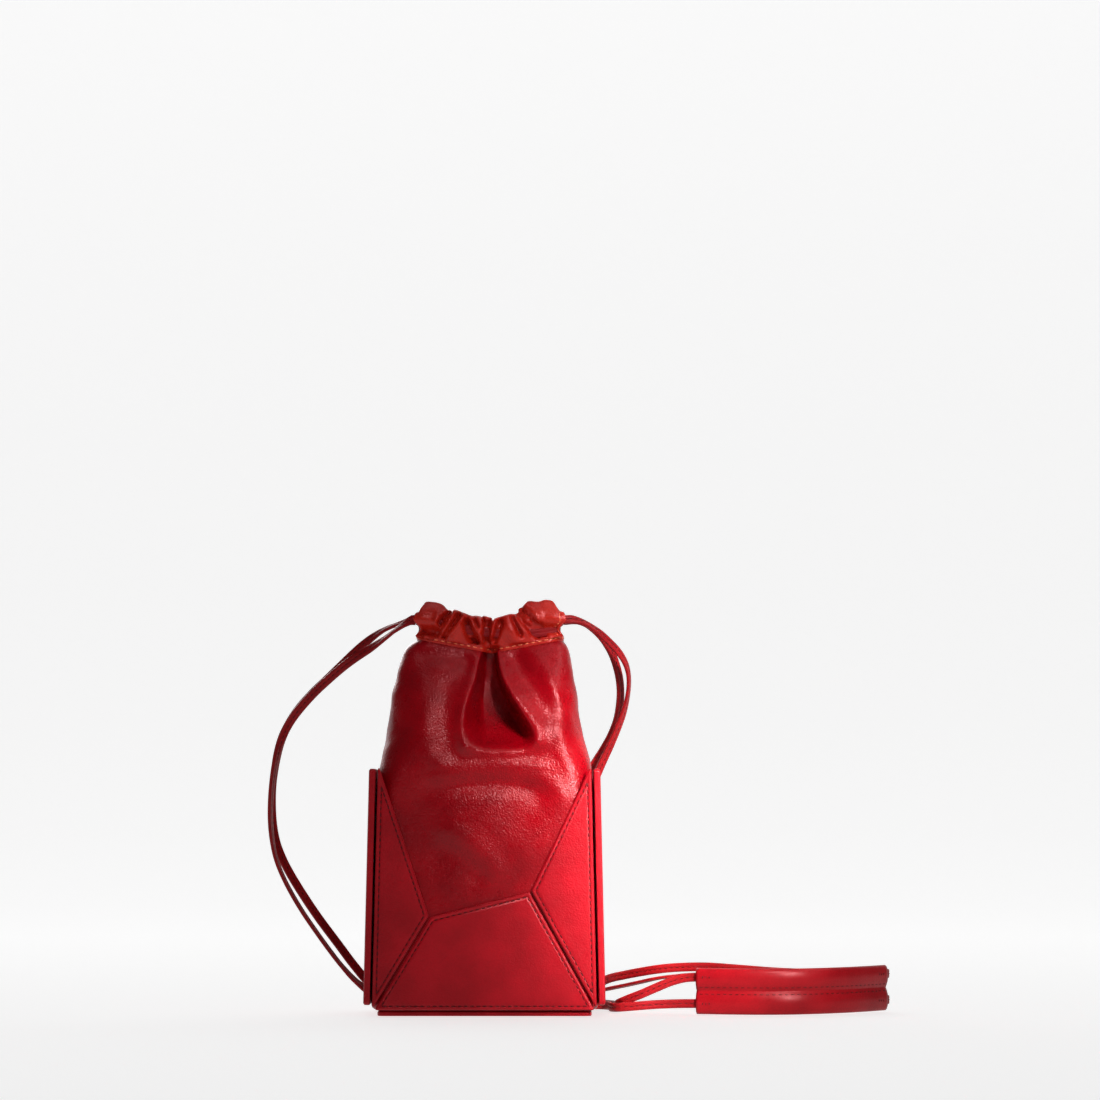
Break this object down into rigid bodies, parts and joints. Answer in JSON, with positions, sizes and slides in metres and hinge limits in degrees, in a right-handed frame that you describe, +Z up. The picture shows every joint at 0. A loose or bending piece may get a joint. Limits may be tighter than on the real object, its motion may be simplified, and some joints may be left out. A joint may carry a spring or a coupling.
{
  "type": "drawstring shoulder pouch",
  "caption": "Small leather drawstring pouch: a soft gathered bag cased in stiff folded boards, drawn shut by flat straps that join in a shoulder pad.",
  "frame": {"origin": "centre of the base, on the surface that the pouch stands on", "axes": "+Z up, towards the gathered mouth; the front, with the pressed valley, faces -Y; +X is to the right as the front is seen, towards the shoulder pad"},
  "size_m": [0.3502, 0.1302, 0.228],
  "materials": {
    "board_leather": "smooth fine-grain leather over stiff board, satin",
    "pouch_leather": "soft glossy nappa leather with a fine grain",
    "strap_leather": "flat stitched leather strap, satin",
    "pad_leather": "smooth leather, satin"
  },
  "bodies": {
    "root": {"base_board": "board_leather", "front_board_left": "board_leather", "front_board_right": "board_leather", "front_board_lower": "board_leather", "back_board_left": "board_leather", "back_board_right": "board_leather", "back_board_lower": "board_leather", "side_board_left": "board_leather", "side_board_right": "board_leather", "pouch": "pouch_leather", "tunnel_front": "pouch_leather", "tunnel_back": "pouch_leather", "drawstring_left_inside": "strap_leather", "drawstring_right_inside": "strap_leather", "strap_left_front": "strap_leather", "strap_left_back": "strap_leather", "strap_right_front": "strap_leather", "strap_right_back": "strap_leather", "strap_in_pad_lower": "strap_leather", "strap_in_pad_upper": "strap_leather", "shoulder_pad": "pad_leather"}
  },
  "joints": []
}
